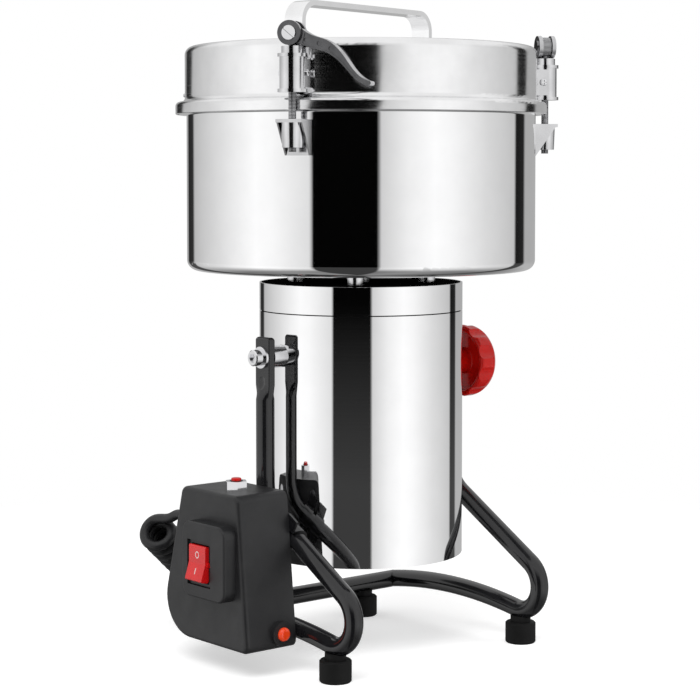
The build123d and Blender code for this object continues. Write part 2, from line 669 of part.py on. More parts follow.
# Bowl and blade set
def make_bowl():
    inside = BOWL_ROUND - BOWL_WALL
    rim = BOWL_FLANGE_TOP - FLANGE_T
    shell = [
        (0, BOWL_BOTTOM), (BOWL_R, BOWL_BOTTOM), (BOWL_R, rim), (BOWL_RIM_R, rim),
        (BOWL_RIM_R, BOWL_FLANGE_TOP), (BOWL_IN_R, BOWL_FLANGE_TOP), (BOWL_IN_R, BOWL_FLOOR), (0, BOWL_FLOOR),
    ]
    rounds = {
        (BOWL_R, BOWL_BOTTOM): BOWL_ROUND, (BOWL_IN_R, BOWL_FLOOR): inside,
        (BOWL_RIM_R, rim): FLANGE_T * 0.45, (BOWL_RIM_R, BOWL_FLANGE_TOP): FLANGE_EDGE_R,
        (BOWL_R, rim): 1.0,
    }
    bowl = turned(shell, rounds) - disc(SEAL_D / 2 + RUN_FIT, BOWL_BOTTOM - 1, BOWL_FLOOR + 1)
    hole = disc(POST_SCREW_D / 2 + RUN_FIT, BOWL_BOTTOM - 1, BOWL_FLOOR + 1, POST_R)
    save("grinding_bowl", less(bowl, around(POST_COUNT, hole, 45)))

    seal = ring(SEAL_D / 2, SHAFT_D / 2 + SKIN_GAP, BOWL_BOTTOM - 2, BOWL_FLOOR + SEAL_H)
    seal += ring(SEAL_D / 2 + 4, SEAL_D / 2 - 1, BOWL_FLOOR, BOWL_FLOOR + 2)
    save("shaft_seal", seal)

    post = ring(POST_D / 2, POST_SCREW_D / 2 + RUN_FIT, HOUSING_TOP, BOWL_BOTTOM, POST_R)
    save("bowl_standoffs", *around(POST_COUNT, post, 45))
    screw = disc(POST_SCREW_HEAD_D / 2, BOWL_FLOOR, BOWL_FLOOR + POST_SCREW_HEAD_H, POST_R)
    screw = fillet(screw.edges().group_by(Axis.Z)[-1], 1.2)
    screw += disc(POST_SCREW_D / 2, HOUSING_TOP - END_FRAME_T, BOWL_FLOOR, POST_R)
    save("bowl_screws", *around(POST_COUNT, screw, 45))


def blade(z0, turn):
    outline = Rectangle(2 * BLADE_R, BLADE_W)
    flat = extrude(Plane((0, 0, z0)) * outline, BLADE_T)
    long_edges = flat.edges().filter_by(Axis.X).group_by(Axis.Z)[-1]
    flat = chamfer(long_edges, BLADE_T - 0.5, length2=4 * BLADE_EDGE)
    bore = disc(SHAFT_D / 2 + RUN_FIT, z0 - 1, z0 + BLADE_T + 1)
    return Rot(0, 0, turn) * (flat - bore)


def make_blades():
    save("lower_blade", blade(LOWER_BLADE_Z0, LOWER_BLADE_TURN))
    save("upper_blade", blade(UPPER_BLADE_Z0, UPPER_BLADE_TURN))
    spacer_z = LOWER_BLADE_Z0 + BLADE_T
    save("blade_spacer", ring(SPACER_D / 2, SHAFT_D / 2 + RUN_FIT, spacer_z, UPPER_BLADE_Z0))
    nut_z = UPPER_BLADE_Z0 + BLADE_T
    nut = extrude(Plane((0, 0, nut_z)) * RegularPolygon(NUT_ACROSS / 2, 6, major_radius=False), NUT_H)
    save("blade_nut", nut - disc(SHAFT_D / 2 + RUN_FIT, nut_z - 1, nut_z + NUT_H + 1))


# Lid
def make_lid():
    inside = LID_R - LID_WALL
    flange_top = LID_FLANGE_Z0 + LID_FLANGE_T
    low = BOWL_FLANGE_TOP - FLANGE_T
    shell = [
        (0, LID_TOP - LID_WALL), (inside, LID_TOP - LID_WALL), (inside, LID_FLANGE_Z0),
        (LID_SKIRT_R, LID_FLANGE_Z0), (LID_SKIRT_R, low), (FLANGE_R, low), (FLANGE_R, flange_top),
        (LID_R, flange_top), (LID_R, LID_TOP), (0, LID_TOP),
    ]
    rounds = {
        (LID_R, LID_TOP): LID_ROUND, (inside, LID_TOP - LID_WALL): LID_ROUND - LID_WALL,
        (FLANGE_R, low): LID_SKIRT_T * 0.45, (FLANGE_R, flange_top): LID_RIM_R,
        (LID_R, flange_top): LID_FLARE_R,
    }
    lid = turned(shell, rounds)
    save("lid", lid)
    save("lid_gasket", ring(GASKET_R1, inside, BOWL_FLANGE_TOP + SEAT_GAP, LID_FLANGE_Z0))

    half = HANDLE_LEN / 2
    strap = [
        (half - HANDLE_T - HANDLE_FOOT, LID_TOP), (half, LID_TOP), (half, HANDLE_TOP), (-half, HANDLE_TOP),
        (-half, LID_TOP), (HANDLE_T + HANDLE_FOOT - half, LID_TOP),
        (HANDLE_T + HANDLE_FOOT - half, LID_TOP + HANDLE_T), (HANDLE_T - half, LID_TOP + HANDLE_T),
        (HANDLE_T - half, HANDLE_TOP - HANDLE_T), (half - HANDLE_T, HANDLE_TOP - HANDLE_T),
        (half - HANDLE_T, LID_TOP + HANDLE_T), (half - HANDLE_T - HANDLE_FOOT, LID_TOP + HANDLE_T),
    ]
    face = make_face(Polyline(*[(x, 0, z) for x, z in strap], close=True).edges()).face()
    for side in (-1, 1):
        for x, z, radius in ((half, HANDLE_TOP, HANDLE_ROUND),
                             (half - HANDLE_T, HANDLE_TOP - HANDLE_T, HANDLE_ROUND - HANDLE_T)):
            corner = face.vertices().sort_by_distance((side * x, 0, z))[0]
            face = face.fillet_2d(radius, [corner])
    handle = extrude(face, HANDLE_W / 2, dir=(0, 1, 0), both=True)
    save("lid_handle", Rot(0, 0, HANDLE_TURN) * handle)


# Cam clamps
def clamp_screw_holes():
    half = BARREL_D / 2
    deep = half - CLAMP_SCREW_LEN - SEAT_GAP
    hole = bar_x(CLAMP_SCREW_D / 2 + RUN_FIT, deep, half + 1, CLAMP_SCREW_Y, CLAMP_SCREW_Z)
    return [hole, mirror(hole, Plane.YZ)]


def make_saddle():
    half = BARREL_D / 2
    body = block(-half, half, -ROD_R, -LID_R + 3, BARREL_Z0 + SADDLE_IN, BARREL_Z0 + BARREL_H - SADDLE_IN)
    body -= disc(LID_R, BARREL_Z0 - 1, LID_TOP)
    body -= disc(half, BARREL_Z0 - 1, BARREL_Z0 + BARREL_H + 1, 0, -ROD_R)
    return less(body, clamp_screw_holes())


def make_saddle_screws():
    half = BARREL_D / 2
    tip = half + CLAMP_SCREW_HEAD_H
    head = bar_x(CLAMP_SCREW_HEAD_D / 2, half, tip, CLAMP_SCREW_Y, CLAMP_SCREW_Z)
    head = fillet(head.edges().group_by(Axis.X)[-1], CLAMP_SCREW_HEAD_H / 2)
    long = CLAMP_SCREW_HEAD_D / 3
    for wide, tall in ((long, CLAMP_SCREW_SLOT / 2), (CLAMP_SCREW_SLOT / 2, long)):
        head -= block(tip - CLAMP_SCREW_SLOT, tip + 1, CLAMP_SCREW_Y - wide, CLAMP_SCREW_Y + wide,
                      CLAMP_SCREW_Z - tall, CLAMP_SCREW_Z + tall)
    screw = head + bar_x(CLAMP_SCREW_D / 2, half - CLAMP_SCREW_LEN, half, CLAMP_SCREW_Y, CLAMP_SCREW_Z)
    return [screw, mirror(screw, Plane.YZ)]


def make_barrel():
    top = BARREL_Z0 + BARREL_H
    body = disc(BARREL_D / 2, BARREL_Z0, top, 0, -ROD_R)
    body += disc(RING_D / 2, top, top + RING_T, 0, -ROD_R)
    body += disc(RING_D / 2, BARREL_Z0 - RING_T, BARREL_Z0, 0, -ROD_R)
    body += disc(COLLAR_D / 2, top + RING_T, EYE_Z - EYE_R - SKIN_GAP, 0, -ROD_R)
    body -= disc(FLANGE_R + SEAT_GAP, LID_FLANGE_Z0, LID_FLANGE_Z0 + LID_FLANGE_T)
    body -= disc(LID_R + SEAT_GAP, BARREL_Z0 - RING_T - 1, LID_TOP)
    body -= disc(ROD_D / 2 + RUN_FIT, BARREL_Z0 - RING_T - 1, EYE_Z, 0, -ROD_R)
    return less(body, clamp_screw_holes())


def make_rod():
    low = KEEPER_Z - SLEEVE_NUT_H - ROD_STUB
    rod = disc(ROD_D / 2, low, EYE_Z, 0, -ROD_R)
    rod += bar_y(ROD_EYE_R, -ROD_R - ROD_EYE_T / 2, -ROD_R + ROD_EYE_T / 2, 0, EYE_Z)
    return rod - bar_y(PIN_R + RUN_FIT, -ROD_R - LEVER_T, -ROD_R + LEVER_T, 0, EYE_Z)


def make_lever_pin():
    proud = 0.8
    pin = bar_y(PIN_R, -ROD_R - LEVER_T / 2 - proud, -ROD_R + LEVER_T / 2 + proud, 0, EYE_Z)
    front = -ROD_R - LEVER_T / 2 - proud
    slot = block(-PIN_R, PIN_R, front - 1, front + 0.8, EYE_Z - 0.5, EYE_Z + 0.5)
    return pin - Pos(0, 0, EYE_Z) * Rot(0, 40, 0) * Pos(0, 0, -EYE_Z) * slot


def make_lever():
    upper = [
        (5.2, 4.4), (9.3, 0.6), (15.6, -2.4), (21.9, -4.4), (27.0, -7.6), (31.6, -12.2), (36.4, -18.8),
        (41.2, -24.4), (47.8, -28.4),
    ]
    lower = [
        (47.8, -31.0), (40.6, -27.7), (35.4, -22.6), (30.0, -17.0), (24.3, -12.8), (18.7, -10.5),
        (12.8, -9.1), (7.4, -6.9), (2.5, -6.2),
    ]
    tip = (upper[-1][0] + LEVER_TIP_R, (upper[-1][1] + lower[0][1]) / 2)
    outline = [
        Spline(*upper), ThreePointArc(upper[-1], tip, lower[0]), Spline(*lower), Line(lower[-1], upper[0]),
    ]
    profile = make_face(outline)
    plane = Plane((0, -ROD_R, EYE_Z), x_dir=(1, 0, 0), z_dir=(0, -1, 0))
    thin = LEVER_T * 0.32
    arm = extrude(plane * profile, thin, both=True)
    rims = []
    for edge, facing in ((upper, lower[::-1]), (lower, upper[::-1])):
        pairs = list(zip(edge, facing))[1:-1]
        rims.append([Vector(a) + (Vector(b) - Vector(a)).normalized() * LEVER_RIM for a, b in pairs])
    above, below = rims
    panel = make_face([Spline(*above), Line(above[-1], below[0]), Spline(*below), Line(below[-1], above[0])])
    panel -= Circle(EYE_R + LEVER_RIM)
    arm -= extrude(plane.offset(thin - LEVER_PANEL) * panel, LEVER_PANEL + 1)
    eye = extrude(plane * Circle(EYE_R), LEVER_T / 2, both=True)
    lever = arm + eye
    lever -= extrude(plane * Circle(PIN_R + RUN_FIT), LEVER_T, both=True)
    slot_r = EYE_R + 3.0
    lever -= extrude(plane * Circle(slot_r), LEVER_SLOT / 2, both=True) - extrude(
        plane * Pos(slot_r + EYE_R, 0) * Rectangle(2 * slot_r, 4 * slot_r), LEVER_T, both=True)
    for x, z, turn in ((11.0, -4.6, -12), (18.8, -7.0, -18), (25.8, -10.4, -40)):
        oval = plane.offset(thin - 2 * LEVER_PANEL) * Pos(x, z) * Rot(0, 0, turn) * SlotOverall(5.2, 2.6)
        lever -= extrude(oval, 3)
    return lever


def make_keeper():
    top = KEEPER_Z + KEEPER_T
    plate = block(-KEEPER_W / 2, KEEPER_W / 2, -ROD_R - KEEPER_OUT, -BOWL_R + 4, KEEPER_Z, top)
    low = KEEPER_Z - SLEEVE_NUT_H - ROD_STUB - KEEPER_WEB_T
    plate += block(-KEEPER_W / 2, KEEPER_W / 2, -BOWL_R - KEEPER_WEB_T, -BOWL_R + 6, low, KEEPER_Z)
    for side in (-1, 1):
        x = side * (KEEPER_W / 2 - KEEPER_CHEEK_T / 2)
        outline = [(-BOWL_R, low), (-BOWL_R - KEEPER_WEB_T, low), (-ROD_R - 5, KEEPER_Z), (-BOWL_R, KEEPER_Z)]
        cheek = make_face(Polyline(*[(x, y, z) for y, z in outline], close=True).edges())
        plate += extrude(cheek, KEEPER_CHEEK_T / 2, dir=(1, 0, 0), both=True)
    plate -= disc(BOWL_R, low - 1, top + 1)
    plate -= disc(ROD_D / 2 + SKIN_GAP, KEEPER_Z - 1, top + 1, 0, -ROD_R)
    return plate


def make_sleeve_nut():
    cone = Pos(0, -ROD_R, KEEPER_Z - SLEEVE_NUT_H) * Cone(
        NUT_LOW_D / 2, NUT_TOP_D / 2, SLEEVE_NUT_H, align=LOW)
    return cone - disc(ROD_D / 2 + SKIN_GAP, KEEPER_Z - SLEEVE_NUT_H - 1, KEEPER_Z + 1, 0, -ROD_R)


def make_clamps():
    pieces = {
        "clamp_barrels": make_barrel(), "clamp_rods": make_rod(), "clamp_keepers": make_keeper(),
        "sleeve_nuts": make_sleeve_nut(), "clamp_saddles": make_saddle(), "lever_pins": make_lever_pin(),
    }
    for name, solid in pieces.items():
        save(name, *[Rot(0, 0, turn) * solid for turn in CLAMP_TURNS.values()])
    screws = make_saddle_screws()
    save("saddle_screws", *[Rot(0, 0, turn) * screw for turn in CLAMP_TURNS.values() for screw in screws])
    lever = make_lever()
    for place, turn in CLAMP_TURNS.items():
        save(f"clamp_lever_{place}", Rot(0, 0, turn) * lever)


# Control box
def box_outline(inset):
    points = [
        (BOX_TOP_FRONT_Y, BOX_TOP_Z), (BOX_TOP_REAR_Y, BOX_TOP_Z), (BOX_LOW_REAR_Y, BOX_BOTTOM_Z),
        (BOX_LOW_FRONT_Y, BOX_BOTTOM_Z),
    ]
    radii = (BOX_CORNER_R, BOX_CORNER_R, BOX_BELLY_R, BOX_CORNER_R)
    plane = Plane((0, 0, 0), x_dir=(0, 1, 0), z_dir=(1, 0, 0))
    face = make_face(Polyline(*points, close=True).edges()).face()
    for (y, z), radius in zip(points, radii):
        corner = face.vertices().sort_by_distance((y, z, 0))[0]
        face = face.fillet_2d(radius, [corner])
    if inset:
        face = offset(face, -inset)
    return plane * face


def at_x(sketch, x0, x1):
    return extrude(Pos(x0, 0, 0) * sketch, x1 - x0, dir=(1, 0, 0))


def face_plane(x, y, z):
    return Plane((x, y, z), x_dir=(0, 1, 0), z_dir=(1, 0, 0))


def make_box():
    shell = at_x(box_outline(0), BOX_FACE_X, BOX_PLATE_X)
    shell = fillet(shell.faces().sort_by(Axis.X)[0].edges(), BOX_EDGE_R)
    pad = extrude(face_plane(PAD_FACE_X, PAD_Y, PAD_Z) * RectangleRounded(PAD_W, PAD_TALL, PAD_CORNER_R),
                  PAD_H + BOX_WALL)
    pad = fillet(pad.faces().sort_by(Axis.X)[0].edges(), PAD_EDGE_R)
    lamp_boss = bar_y(LAMP_BOSS_D / 2, LAMP_BOSS_Y, BOX_LOW_FRONT_Y + 10, LAMP_X, LAMP_Z)
    gland_boss = bar_y(GLAND_BOSS_D / 2, BOX_TOP_REAR_Y - 2, GLAND_BOSS_Y, GLAND_X, GLAND_Z)
    shell += [pad, lamp_boss, gland_boss]
    hollow = at_x(box_outline(BOX_WALL), BOX_FACE_X + BOX_WALL, BOX_PLATE_X + 1)
    shell -= hollow
    shell -= block(BOX_PLATE_X, 0, 2 * BOX_LOW_FRONT_Y, 2 * BOX_LOW_REAR_Y, 0, 2 * BOX_TOP_Z)
    switch_plane = face_plane(PAD_FACE_X, SWITCH_Y, SWITCH_Z)
    recess = Rectangle(BEZEL_W + SWITCH_ROOM, BEZEL_TALL + SWITCH_ROOM)
    shell -= extrude(switch_plane * recess, BEZEL_RECESS)
    throat = Rectangle(SWITCH_BODY_W + SWITCH_ROOM / 2, SWITCH_BODY_TALL + SWITCH_ROOM / 2)
    shell -= extrude(switch_plane * throat, PAD_H + 2 * BOX_WALL)
    shell -= disc(RESET_BUSH_D / 2 + RUN_FIT, BOX_TOP_Z - 2 * BOX_WALL, BOX_TOP_Z + 1, RESET_X, RESET_Y)
    shell -= bar_y(LAMP_BODY_D / 2 + RUN_FIT, LAMP_BOSS_Y - 1, BOX_LOW_FRONT_Y + 12, LAMP_X, LAMP_Z)
    shell -= bar_y(GLAND_STEM_D / 2 + RUN_FIT, BOX_TOP_REAR_Y - 8, GLAND_BOSS_Y + 1, GLAND_X, GLAND_Z)

    corners = ((BOX_TOP_FRONT_Y + 6.5, BOX_TOP_Z - 9), (BOX_TOP_REAR_Y - 6, BOX_TOP_Z - 9),
               (BOX_LOW_FRONT_Y + 9, BOX_BOTTOM_Z + 22), (BOX_LOW_REAR_Y - 19, BOX_BOTTOM_Z + 12))
    plate = at_x(box_outline(0), BOX_PLATE_X, BOX_BACK_X)
    screws = []
    for y, z in corners:
        post = bar_x(BOX_SCREW_D, BOX_FACE_X + BOX_WALL, BOX_PLATE_X, y, z)
        shell += post
        hole = bar_x(BOX_SCREW_D / 2 + RUN_FIT, BOX_PLATE_X - 10, BOX_BACK_X + 1, y, z)
        shell -= hole
        plate -= hole
        plate -= bar_x(BOX_SCREW_HEAD_D / 2 + 0.2, BOX_BACK_X - BOX_SCREW_HEAD_H, BOX_BACK_X + 1, y, z)
        screw = bar_x(BOX_SCREW_D / 2, BOX_PLATE_X - 9, BOX_BACK_X - BOX_SCREW_HEAD_H, y, z)
        screw += bar_x(BOX_SCREW_HEAD_D / 2, BOX_BACK_X - BOX_SCREW_HEAD_H, BOX_BACK_X, y, z)
        screws.append(screw)
    save("control_box_cover", shell)
    save("control_box_back", plate)
    save("control_box_screws", *screws)
    make_switch()
    make_reset()
    make_lamp()
    make_clips()


def make_switch():
    seat_x = PAD_FACE_X + BEZEL_RECESS
    bezel_plane = face_plane(seat_x - BEZEL_T, SWITCH_Y, SWITCH_Z)
    bezel = bezel_plane * RectangleRounded(BEZEL_W, BEZEL_TALL, BEZEL_CORNER_R)
    body = extrude(bezel, BEZEL_T)
    block_face = face_plane(seat_x, SWITCH_Y, SWITCH_Z) * Rectangle(SWITCH_BODY_W, SWITCH_BODY_TALL)
    body += extrude(block_face, SWITCH_BODY_LEN)
    well_w = ROCKER_W + 2 * SEAT_GAP + SWITCH_ROOM
    well_plane = face_plane(seat_x - BEZEL_T - 1, SWITCH_Y, SWITCH_Z)
    well = well_plane * Rectangle(well_w, ROCKER_TALL + 2 * ROCKER_ROOM)
    body -= extrude(well, BEZEL_T + 1 + ROCKER_DEPTH + 2)
    axle_x = rocker_axle_x()
    half = ROCKER_W / 2 + AXLE_OUT + SWITCH_ROOM
    body -= bar_y(AXLE_R + RUN_FIT, SWITCH_Y - half, SWITCH_Y + half, axle_x, SWITCH_Z)
    save("switch_body", body)

    half = ROCKER_TALL / 2
    profile = [
        (-ROCKER_DEPTH, -3), (-1, -half), (ROCKER_PROUD, -half), (ROCKER_PROUD - ROCKER_DIP, 0),
        (ROCKER_PROUD, half), (-1, half), (-ROCKER_DEPTH, 3),
    ]
    face = make_face(Polyline(*[(-u, 0, v) for u, v in profile], close=True).edges())
    rocker = extrude(face, ROCKER_W / 2, dir=(0, 1, 0), both=True)
    rocker = fillet(rocker.edges().filter_by(Axis.Y).group_by(Axis.X)[0], 1.0)
    rocker += bar_y(AXLE_R, -ROCKER_W / 2 - AXLE_OUT, ROCKER_W / 2 + AXLE_OUT, 0, 0)
    place = Pos(axle_x, SWITCH_Y, SWITCH_Z) * Rot(0, ROCKER_REST_DEG, 0)
    save("switch_rocker", place * rocker)


def rocker_axle_x():
    return PAD_FACE_X + BEZEL_RECESS - BEZEL_T


def make_reset():
    bush_top = BOX_TOP_Z + RESET_BUSH_PROUD
    inner_top = BOX_TOP_Z - BOX_WALL
    body = Pos(RESET_X, RESET_Y, 0) * block(
        -BREAKER_W / 2, BREAKER_W / 2, -BREAKER_D / 2, BREAKER_D / 2, inner_top - BREAKER_H, inner_top)
    body += disc(RESET_BUSH_D / 2, inner_top, bush_top, RESET_X, RESET_Y)
    well_floor = bush_top - RESET_TRAVEL - 4
    body -= disc(RESET_BUTTON_D / 2 + RUN_FIT, well_floor, bush_top + 1, RESET_X, RESET_Y)
    save("overload_breaker", body)
    hexagon = Pos(RESET_X, RESET_Y, BOX_TOP_Z) * RegularPolygon(RESET_NUT_ACROSS / 2, 6, major_radius=False)
    nut = extrude(hexagon, RESET_NUT_H)
    save("reset_nut", nut - disc(RESET_BUSH_D / 2 + RUN_FIT, BOX_TOP_Z - 1, bush_top, RESET_X, RESET_Y))
    button_foot = well_floor + RESET_TRAVEL + SKIN_GAP
    button = disc(RESET_BUTTON_D / 2, button_foot, bush_top + RESET_BUTTON_PROUD, RESET_X, RESET_Y)
    save("reset_button", fillet(button.edges().group_by(Axis.Z)[-1], 0.8))


def make_lamp():
    lens = bar_y(LAMP_LENS_D / 2, LAMP_BOSS_Y - LAMP_LENS_H, LAMP_BOSS_Y, LAMP_X, LAMP_Z)
    lens = fillet(lens.edges().group_by(Axis.Y)[0], LAMP_LENS_H * 0.85)
    body = bar_y(LAMP_BODY_D / 2, LAMP_BOSS_Y, LAMP_BOSS_Y + LAMP_BODY_LEN, LAMP_X, LAMP_Z)
    save("pilot_lamp", lens + body)


def make_clips():
    """Half-round straps that hold the back of the box to the sloping run of the frame."""
    run = loop_path(-FRAME_X)[2]
    clips = []
    for distance in CLIP_PLACES:
        frame = Plane(run @ (distance / run.length), x_dir=(1, 0, 0), z_dir=run % 0)
        outer = TUBE_R + RUN_FIT + CLIP_T
        sketch = Circle(outer) + Pos(-outer / 2, 0) * Rectangle(outer, 2 * outer)
        sketch += Pos(BOX_BACK_X + FRAME_X + CLIP_T / 2, 0) * Rectangle(CLIP_T, 2 * (outer + CLIP_FLANGE))
        sketch -= Circle(TUBE_R + RUN_FIT)
        sketch -= Pos(-TUBE_R, 0) * Rectangle(2 * TUBE_R, 2 * TUBE_R + 2 * RUN_FIT)
        sketch -= Pos(BOX_BACK_X + FRAME_X - 10, 0) * Rectangle(20, 80)
        clips.append(extrude(frame * sketch, CLIP_W / 2, both=True))
    save("tube_clips", *clips)


# Mains cord
def curl_frame():
    axis = CURL_AXIS.normalized()
    up = (Vector(0, 0, 1) - axis * axis.Z).normalized()
    side = up.cross(axis)
    return axis, up, side


def curl_point(turns):
    axis, up, side = curl_frame()
    angle = 2 * math.pi * turns
    spoke = up * math.cos(angle) + side * math.sin(angle)
    start = Vector(GLAND_X, GLAND_END_Y, GLAND_Z) + CURL_SET
    return start + axis * (CURL_PITCH * turns) + spoke * CURL_R


def curl_heading(turns):
    axis, up, side = curl_frame()
    angle = 2 * math.pi * turns
    swing = side * math.cos(angle) - up * math.sin(angle)
    return (swing * (2 * math.pi * CURL_R) + axis * CURL_PITCH).normalized()


def cord_path():
    exit_point = Vector(GLAND_X, GLAND_END_Y, GLAND_Z)
    straight = exit_point + Vector(0, CORD_D, 0)
    edges = [Edge.make_line(exit_point, straight)]
    edges += biarc(straight, Vector(0, 1, 0), curl_point(0), curl_heading(0))
    for half in range(2 * CURLS):
        start, stop = half / 2, (half + 1) / 2
        edges += biarc(curl_point(start), curl_heading(start), curl_point(stop), curl_heading(stop))
    last = curl_point(CURLS)
    edges.append(Edge.make_line(last, last + curl_heading(CURLS) * CORD_D))
    return edges


def least_self_gap(edges):
    """Smallest air gap between stretches of the cord that are more than half a curl apart."""
    path = Wire(edges)
    count = 16 * CURLS
    points = [path @ (i / count) for i in range(count + 1)]
    skip = math.ceil(math.pi * CURL_R * count / path.length)
    nearest = min((a - b).length for i, a in enumerate(points) for b in points[i + skip:])
    return nearest - CORD_D


def tail_points():
    heading = curl_heading(CURLS)
    start = curl_point(CURLS) + heading * CORD_D
    points = [start, start + heading * TAIL_FIRST]
    for run, drop, bearing in TAIL_RUNS:
        turn = math.radians(bearing)
        points.append(points[-1] + Vector(run * math.cos(turn), run * math.sin(turn), drop))
    return points


def make_cord():
    gland = bar_y(GLAND_STEM_D / 2, BOX_TOP_REAR_Y - 4, GLAND_BOSS_Y, GLAND_X, GLAND_Z)
    gland += Pos(GLAND_X, GLAND_BOSS_Y, GLAND_Z) * Rot(-90, 0, 0) * Cone(
        GLAND_ROOT_D / 2, GLAND_TIP_D / 2, GLAND_LEN, align=LOW)
    step = GLAND_LEN / (GLAND_GROOVES + 0.25)
    for i in range(GLAND_GROOVES):
        y = GLAND_BOSS_Y + step * (i + 1)
        radius = GLAND_ROOT_D / 2 - (GLAND_ROOT_D - GLAND_TIP_D) / 2 * (y - GLAND_BOSS_Y) / GLAND_LEN
        core = bar_y(radius - GLAND_GROOVE_DEPTH, y - 1, y + 2 * GLAND_GROOVE_W, GLAND_X, GLAND_Z)
        gland -= bar_y(GLAND_ROOT_D, y, y + GLAND_GROOVE_W, GLAND_X, GLAND_Z) - core
    save("cord_strain_relief", gland)

    edges = cord_path()
    cord = swept(edges, CORD_D / 2)
    length = Wire(edges).length
    print("curly cord: length", round(length, 1), "volume ratio",
          round(cord.volume / (length * math.pi * CORD_D ** 2 / 4), 4),
          "least gap to itself", round(least_self_gap(edges), 2))
    save("curly_cord", cord)

    points = tail_points()
    radii = []
    for before, at, after in zip(points, points[1:], points[2:]):
        turn = math.radians((at - before).get_angle(after - at))
        shorter = min((at - before).length, (after - at).length)
        radii.append(0.45 * shorter / math.tan(turn / 2))
    route = FilletPolyline(*points, radius=radii)
    tail = swept(route.edges(), CORD_D / 2)
    print("cord tail: radii", [round(r) for r in radii], "length", round(Wire(route.edges()).length, 1),
          "end", points[-1])
    save("cord_tail", tail)
    make_plug(points[-1], (points[-1] - points[-2]).normalized())


def make_plug(start, heading):
    place = Plane(start, x_dir=Vector(0, 0, 1).cross(heading), z_dir=heading)
    neck = loft([place * Circle(PLUG_NECK_D / 2), place.offset(PLUG_NECK_LEN) * Circle(PLUG_NECK_D / 2 + 1)])
    sections = [
        place.offset(PLUG_NECK_LEN) * RectangleRounded(PLUG_NECK_D + 5, PLUG_NECK_D + 2, 4),
        place.offset(PLUG_NECK_LEN + PLUG_LEN * 0.45) * RectangleRounded(PLUG_W, PLUG_H, 6),
        place.offset(PLUG_NECK_LEN + PLUG_LEN) * RectangleRounded(PLUG_W, PLUG_H, 6),
    ]
    save("mains_plug", neck + loft(sections, ruled=True))
    face = place.offset(PLUG_NECK_LEN + PLUG_LEN)
    pins = []
    for side in (-1, 1):
        pin = extrude(face * Pos(side * PIN_SPREAD, 0) * Circle(PIN_D / 2), PIN_LEN)
        tip = pin.edges().filter_by(GeomType.CIRCLE).sort_by_distance(start)[-1]
        pins.append(fillet(tip, PIN_D * 0.3))
    save("plug_pins", *pins)


make_stand()
make_pivot()
make_knob()
make_housing()
make_end_frames()
make_motor()
make_brushes()
make_bowl()
make_blades()
make_lid()
make_clamps()
make_box()
make_cord()
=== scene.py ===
import math

import bmesh
import bpy
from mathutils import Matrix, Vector
from mathutils.bvhtree import BVHTree


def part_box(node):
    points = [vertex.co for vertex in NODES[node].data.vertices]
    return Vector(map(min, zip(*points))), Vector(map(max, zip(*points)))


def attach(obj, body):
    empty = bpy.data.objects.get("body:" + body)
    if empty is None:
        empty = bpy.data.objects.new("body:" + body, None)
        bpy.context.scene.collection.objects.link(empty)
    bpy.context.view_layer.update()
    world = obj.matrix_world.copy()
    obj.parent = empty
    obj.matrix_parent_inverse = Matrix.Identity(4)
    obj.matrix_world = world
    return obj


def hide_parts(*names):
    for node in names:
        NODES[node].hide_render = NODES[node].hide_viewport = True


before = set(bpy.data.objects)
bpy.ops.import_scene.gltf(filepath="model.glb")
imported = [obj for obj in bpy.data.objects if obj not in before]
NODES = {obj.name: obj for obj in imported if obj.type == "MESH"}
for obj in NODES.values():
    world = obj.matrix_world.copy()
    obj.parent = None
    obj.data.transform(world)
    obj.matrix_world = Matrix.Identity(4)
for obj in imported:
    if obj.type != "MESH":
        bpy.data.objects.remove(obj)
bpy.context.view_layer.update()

SCENE = bpy.context.scene
MM = 0.001
WHITE = (1.0, 1.0, 1.0, 1.0)

# Camera: 40 degrees to the left of straight ahead, just under the lid's height
IMAGE = 700
FOCAL_PX = 1986.2
SENSOR = 36
CLIP_NEAR = 0.05
CLIP_FAR = 60
VIEW_AZIMUTH = math.radians(-40)
VIEW_TILT = math.radians(3.048)
STANDS_OFF = 1.2713
EYE_HEIGHT = 0.3061
OFF_AXIS = 0.00703
FRAME_DROP_PX = 77

TOWARD = Vector((math.sin(VIEW_AZIMUTH), -math.cos(VIEW_AZIMUTH), 0))
RIGHT = Vector((-TOWARD.y, TOWARD.x, 0))


def make_camera():
    data = bpy.data.cameras.new("camera")
    data.sensor_width = SENSOR
    data.lens = FOCAL_PX * data.sensor_width / IMAGE
    data.shift_y = -FRAME_DROP_PX / IMAGE
    data.clip_start = CLIP_NEAR
    data.clip_end = CLIP_FAR
    cam = bpy.data.objects.new("camera", data)
    SCENE.collection.objects.link(cam)
    cam.location = TOWARD * STANDS_OFF - RIGHT * OFF_AXIS + Vector((0, 0, EYE_HEIGHT))
    look = -TOWARD * math.cos(VIEW_TILT) - Vector((0, 0, math.sin(VIEW_TILT)))
    cam.rotation_mode = "QUATERNION"
    cam.rotation_quaternion = look.to_track_quat("-Z", "Y")
    SCENE.camera = cam


